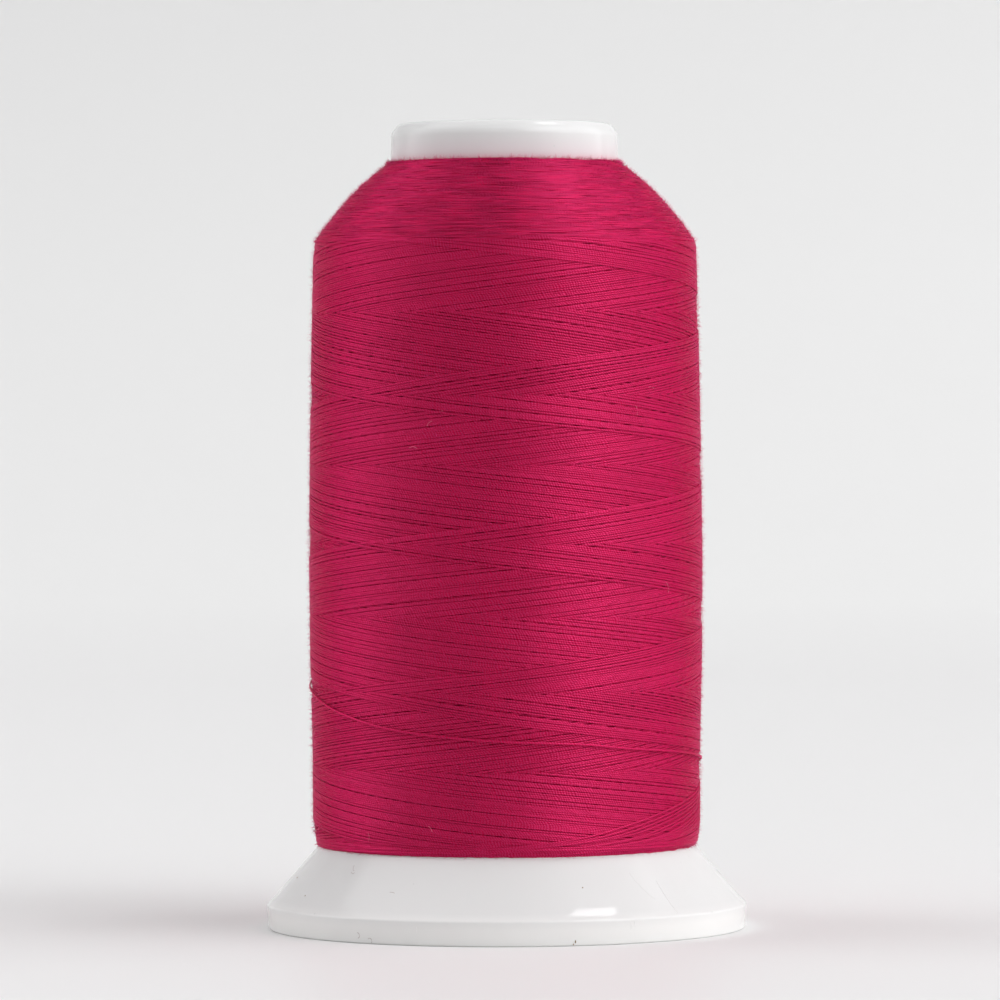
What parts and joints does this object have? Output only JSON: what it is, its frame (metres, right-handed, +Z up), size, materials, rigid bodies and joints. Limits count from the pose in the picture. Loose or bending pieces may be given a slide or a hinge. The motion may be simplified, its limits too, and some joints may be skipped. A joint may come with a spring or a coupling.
{
  "type": "cone of thread",
  "caption": "Crimson sewing thread cross-wound in a barrel with a sloping shoulder on a white plastic core that has a round collar and a wide conical foot.",
  "frame": {"origin": "on the axis at the underside of the foot's rim, which is the lowest point", "axes": "+Z up along the axis of the core, from the foot to the collar; the pictured side faces -Y"},
  "size_m": [0.058, 0.058, 0.097],
  "materials": {
    "white_plastic": "glossy white injection-moulded plastic, slightly translucent",
    "crimson_thread": "crimson spun sewing thread with a soft sheen and fine fuzz, wound tight"
  },
  "bodies": {
    "root": {"plastic_core": "white_plastic", "wound_thread": "crimson_thread"}
  },
  "joints": []
}
